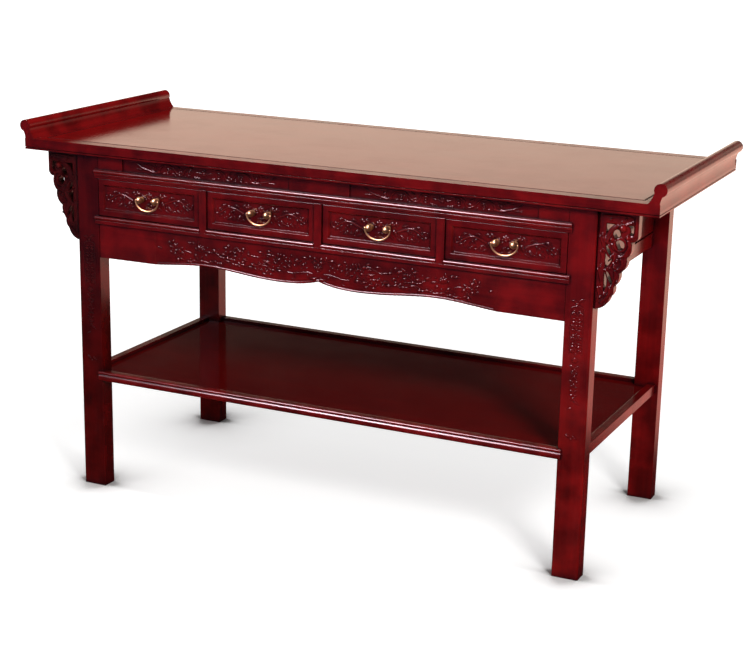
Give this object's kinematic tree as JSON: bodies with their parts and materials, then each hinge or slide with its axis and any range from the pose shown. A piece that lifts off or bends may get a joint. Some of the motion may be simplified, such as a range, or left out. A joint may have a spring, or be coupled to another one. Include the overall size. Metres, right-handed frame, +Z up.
{
  "type": "altar table",
  "caption": "Long altar table with everted end flanges, a carved frieze, a row of drawers on bail pulls, a cusped apron, pierced corner brackets and a low shelf.",
  "frame": {"origin": "on the floor, below the middle of the top", "axes": "+Z up, +X along the length to the right-hand end, the drawer fronts face -Y"},
  "size_m": [1.5246, 0.6, 0.862],
  "materials": {
    "lacquered_wood": "dark mahogany-red gloss lacquer",
    "inner_wood": "thinly stained, satin",
    "brass": "polished"
  },
  "bodies": {
    "frame": {"leg_front_left": "lacquered_wood", "leg_front_right": "lacquered_wood", "leg_back_left": "lacquered_wood", "leg_back_right": "lacquered_wood", "top_front_rail": "lacquered_wood", "top_back_rail": "lacquered_wood", "top_end_left": "lacquered_wood", "top_end_right": "lacquered_wood", "top_panel": "lacquered_wood", "frieze_panel_left": "lacquered_wood", "frieze_panel_right": "lacquered_wood", "frieze_blocks": "lacquered_wood", "mid_rail": "lacquered_wood", "lower_rail": "lacquered_wood", "drawer_dividers": "lacquered_wood", "apron_center": "lacquered_wood", "apron_left": "lacquered_wood", "apron_right": "lacquered_wood", "bracket_left": "lacquered_wood", "bracket_right": "lacquered_wood", "side_panel_left": "lacquered_wood", "side_panel_right": "lacquered_wood", "side_rail_left": "lacquered_wood", "side_rail_right": "lacquered_wood", "back_panel": "lacquered_wood", "back_rail": "lacquered_wood", "shelf_front_rail": "lacquered_wood", "shelf_back_rail": "lacquered_wood", "shelf_left_rail": "lacquered_wood", "shelf_right_rail": "lacquered_wood", "shelf_panel": "lacquered_wood", "top_battens": "inner_wood", "drawer_bearers": "inner_wood", "drawer_guides": "inner_wood", "drawer_kickers": "inner_wood", "shelf_battens": "inner_wood"},
    "drawer_1": {"drawer_1_front": "lacquered_wood", "drawer_1_sides": "inner_wood", "drawer_1_back": "inner_wood", "drawer_1_bottom": "inner_wood", "drawer_1_handle_posts": "brass"},
    "drawer_1_bail": {"drawer_1_handle_bail": "brass"},
    "drawer_2": {"drawer_2_front": "lacquered_wood", "drawer_2_sides": "inner_wood", "drawer_2_back": "inner_wood", "drawer_2_bottom": "inner_wood", "drawer_2_handle_posts": "brass"},
    "drawer_2_bail": {"drawer_2_handle_bail": "brass"},
    "drawer_3": {"drawer_3_front": "lacquered_wood", "drawer_3_sides": "inner_wood", "drawer_3_back": "inner_wood", "drawer_3_bottom": "inner_wood", "drawer_3_handle_posts": "brass"},
    "drawer_3_bail": {"drawer_3_handle_bail": "brass"},
    "drawer_4": {"drawer_4_front": "lacquered_wood", "drawer_4_sides": "inner_wood", "drawer_4_back": "inner_wood", "drawer_4_bottom": "inner_wood", "drawer_4_handle_posts": "brass"},
    "drawer_4_bail": {"drawer_4_handle_bail": "brass"}
  },
  "joints": [
    {"name": "drawer_1_slide", "type": "slide", "parent": "frame", "child": "drawer_1", "axis": [0, -1, 0], "range_m": [0, 0.3]},
    {"name": "drawer_1_bail_hinge", "type": "hinge", "parent": "drawer_1", "child": "drawer_1_bail", "pos_m": [-0.42825, -0.2922, 0.7045], "axis": [-1, 0, 0], "range_deg": [-12, 180]},
    {"name": "drawer_2_slide", "type": "slide", "parent": "frame", "child": "drawer_2", "axis": [0, -1, 0], "range_m": [0, 0.3]},
    {"name": "drawer_2_bail_hinge", "type": "hinge", "parent": "drawer_2", "child": "drawer_2_bail", "pos_m": [-0.14275, -0.2922, 0.7045], "axis": [-1, 0, 0], "range_deg": [-12, 180]},
    {"name": "drawer_3_slide", "type": "slide", "parent": "frame", "child": "drawer_3", "axis": [0, -1, 0], "range_m": [0, 0.3]},
    {"name": "drawer_3_bail_hinge", "type": "hinge", "parent": "drawer_3", "child": "drawer_3_bail", "pos_m": [0.14275, -0.2922, 0.7045], "axis": [-1, 0, 0], "range_deg": [-12, 180]},
    {"name": "drawer_4_slide", "type": "slide", "parent": "frame", "child": "drawer_4", "axis": [0, -1, 0], "range_m": [0, 0.3]},
    {"name": "drawer_4_bail_hinge", "type": "hinge", "parent": "drawer_4", "child": "drawer_4_bail", "pos_m": [0.42825, -0.2922, 0.7045], "axis": [-1, 0, 0], "range_deg": [-12, 180]}
  ]
}
